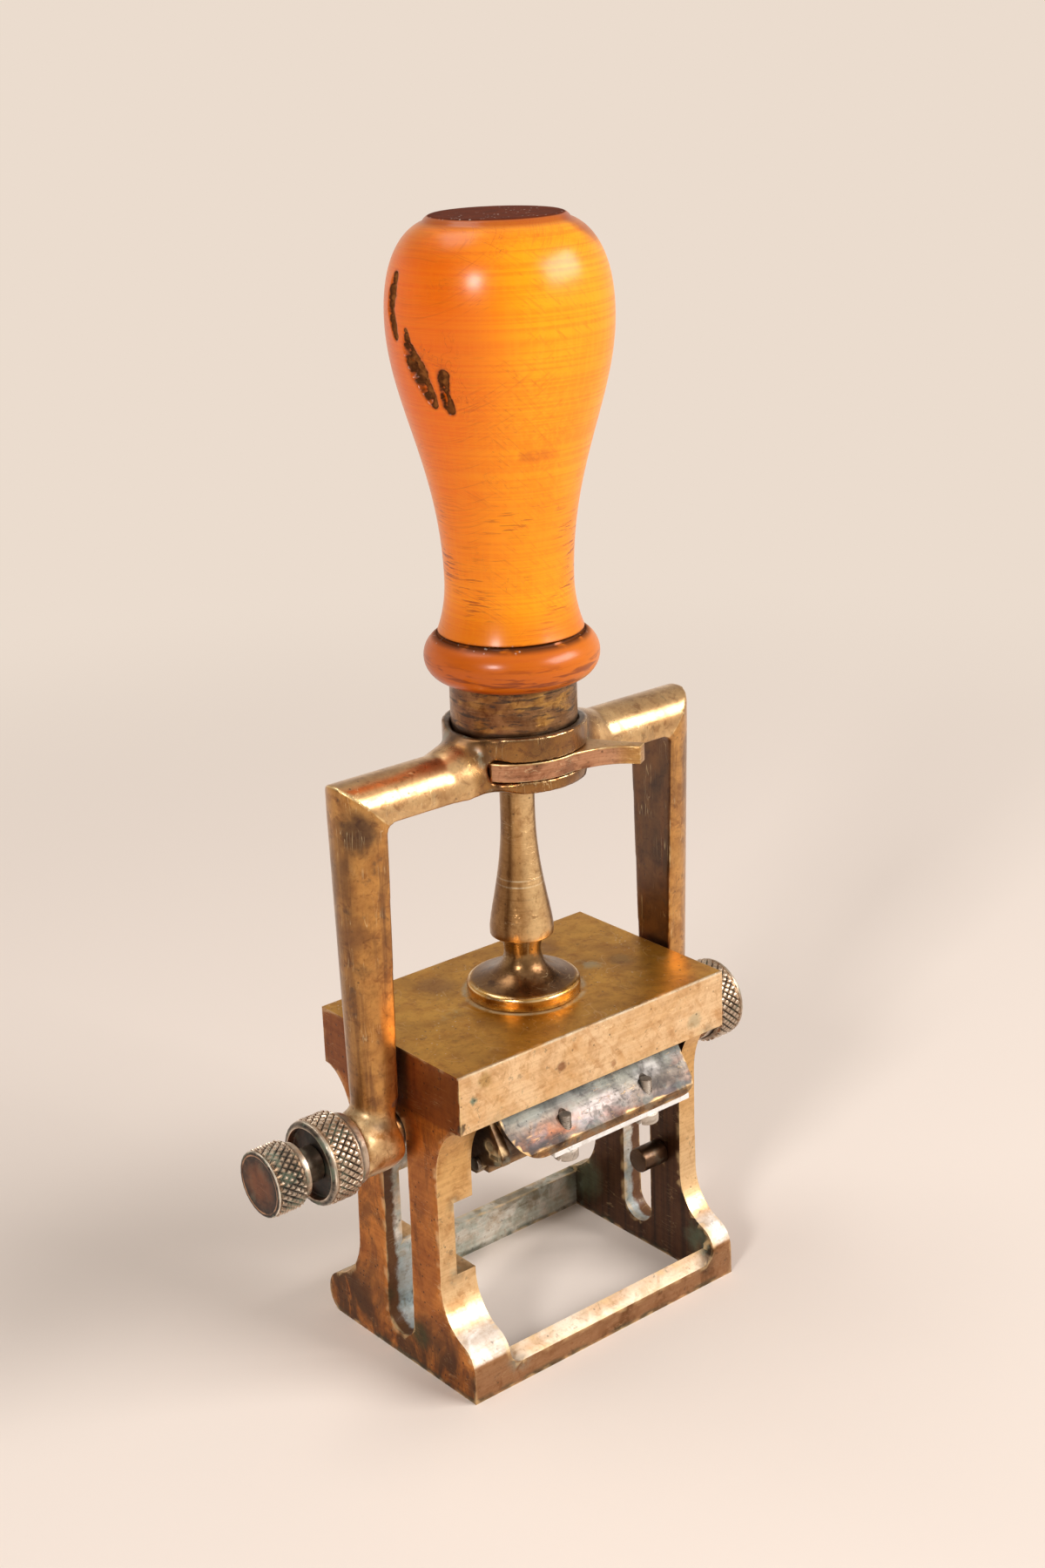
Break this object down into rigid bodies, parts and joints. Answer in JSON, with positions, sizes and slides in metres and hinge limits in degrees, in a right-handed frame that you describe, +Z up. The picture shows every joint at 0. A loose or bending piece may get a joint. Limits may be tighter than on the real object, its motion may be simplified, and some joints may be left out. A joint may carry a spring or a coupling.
{
  "type": "date stamp",
  "caption": "Self-inking date stamp: brass frame, turned wooden handle on a sprung plunger and a type head that turns over as it is pressed.",
  "frame": {"origin": "middle of the foot's footprint on the surface that the stamp stands on", "axes": "+Z up along the plunger, +X along the block towards the plain pivot screw, -Y the front with the wing and the lock lever's tab"},
  "size_m": [0.1221, 0.0494, 0.2264],
  "materials": {
    "cast_brass": "old cast brass, brown toned, satin, bright on its worn edges",
    "yoke_brass": "polished cast brass with brown streaks and bright worn ridges",
    "turned_brass": "turned brass, brown gold, fine turning lines",
    "dark_brass": "toned brass with dark streaks round it",
    "sheet_brass": "dull sheet brass",
    "knob_bronze": "brown grey bronze, diamond knurled",
    "dark_bronze": "dark brown bronze with green in its corners",
    "wing_bronze": "bronze plate toned brown, violet and grey green, gold at its edges",
    "lever_bronze": "copper brown plate with worn bright edges",
    "screw_brass": "brown screw brass",
    "steel": "bright steel with grey brown spots",
    "type_metal": "inked brass type, dark",
    "boxwood": "polished amber boxwood, fine turning lines, dark in the grooves",
    "ink_felt": "ink soaked felt"
  },
  "bodies": {
    "frame": {"frame": "cast_brass", "post_flange": "turned_brass", "column": "turned_brass", "column_retainer": "steel", "return_spring": "steel", "pad_tray": "sheet_brass", "ink_pad": "ink_felt", "tray_screws": "screw_brass", "flip_stud": "dark_bronze"},
    "plunger": {"yoke": "yoke_brass", "ferrule": "dark_brass", "handle": "boxwood", "spring_seat": "steel", "lever_screw": "screw_brass"},
    "lock_lever": {"lock_lever": "lever_bronze"},
    "left_pivot": {"left_pivot_screw": "knob_bronze"},
    "right_pivot": {"right_pivot_screw": "knob_bronze"},
    "head": {"head_plate_left": "dark_bronze", "head_plate_right": "dark_bronze", "flip_cam": "dark_bronze", "front_rail": "dark_bronze", "rear_rail": "dark_bronze", "head_screws": "screw_brass", "front_wing": "wing_bronze", "clamp_strip": "steel", "clamp_screws": "screw_brass", "rear_clamp_bar": "dark_bronze", "rear_clamp_screws": "screw_brass", "front_text_plate": "type_metal", "rear_text_plate": "type_metal", "wheel_spacers": "sheet_brass", "detent_spring": "steel"},
    "date_spindle": {"date_spindle": "steel", "date_knob": "knob_bronze"},
    "wheel_day_tens": {"wheel_day_tens": "type_metal"},
    "wheel_day_units": {"wheel_day_units": "type_metal"},
    "wheel_month": {"wheel_month": "type_metal"},
    "wheel_year_tens": {"wheel_year_tens": "type_metal"},
    "wheel_year_units": {"wheel_year_units": "type_metal"}
  },
  "joints": [
    {"name": "press", "type": "slide", "parent": "frame", "child": "plunger", "axis": [0, 0, -1], "range_m": [0, 0.042], "stiffness_N_per_m": 400, "springref_m": -0.02, "deforming": ["return_spring"]},
    {"name": "head_flip", "type": "hinge", "parent": "plunger", "child": "head", "pos_m": [0, 0, 0.0518], "axis": [-1, 0, 0], "range_deg": [0, 180]},
    {"name": "lock", "type": "hinge", "parent": "plunger", "child": "lock_lever", "pos_m": [0.0067, -0.0086, 0.123], "axis": [0, 0, 1], "range_deg": [-12, 0]},
    {"name": "left_screw_turn", "type": "hinge", "parent": "plunger", "child": "left_pivot", "pos_m": [0, 0, 0.0518], "axis": [1, 0, 0], "continuous": true},
    {"name": "right_screw_turn", "type": "hinge", "parent": "plunger", "child": "right_pivot", "pos_m": [0, 0, 0.0518], "axis": [1, 0, 0], "continuous": true},
    {"name": "date_knob_turn", "type": "hinge", "parent": "head", "child": "date_spindle", "pos_m": [0, 0, 0.0518], "axis": [1, 0, 0], "continuous": true},
    {"name": "wheel_day_tens_turn", "type": "hinge", "parent": "head", "child": "wheel_day_tens", "pos_m": [0, 0, 0.0518], "axis": [1, 0, 0], "continuous": true},
    {"name": "wheel_day_units_turn", "type": "hinge", "parent": "head", "child": "wheel_day_units", "pos_m": [0, 0, 0.0518], "axis": [1, 0, 0], "continuous": true},
    {"name": "wheel_month_turn", "type": "hinge", "parent": "head", "child": "wheel_month", "pos_m": [0, 0, 0.0518], "axis": [1, 0, 0], "continuous": true},
    {"name": "wheel_year_tens_turn", "type": "hinge", "parent": "head", "child": "wheel_year_tens", "pos_m": [0, 0, 0.0518], "axis": [1, 0, 0], "continuous": true},
    {"name": "wheel_year_units_turn", "type": "hinge", "parent": "head", "child": "wheel_year_units", "pos_m": [0, 0, 0.0518], "axis": [1, 0, 0], "continuous": true}
  ],
  "couplings": [
    {"joint": "head_flip", "follows": "press", "rad_per_m": 74.79}
  ]
}
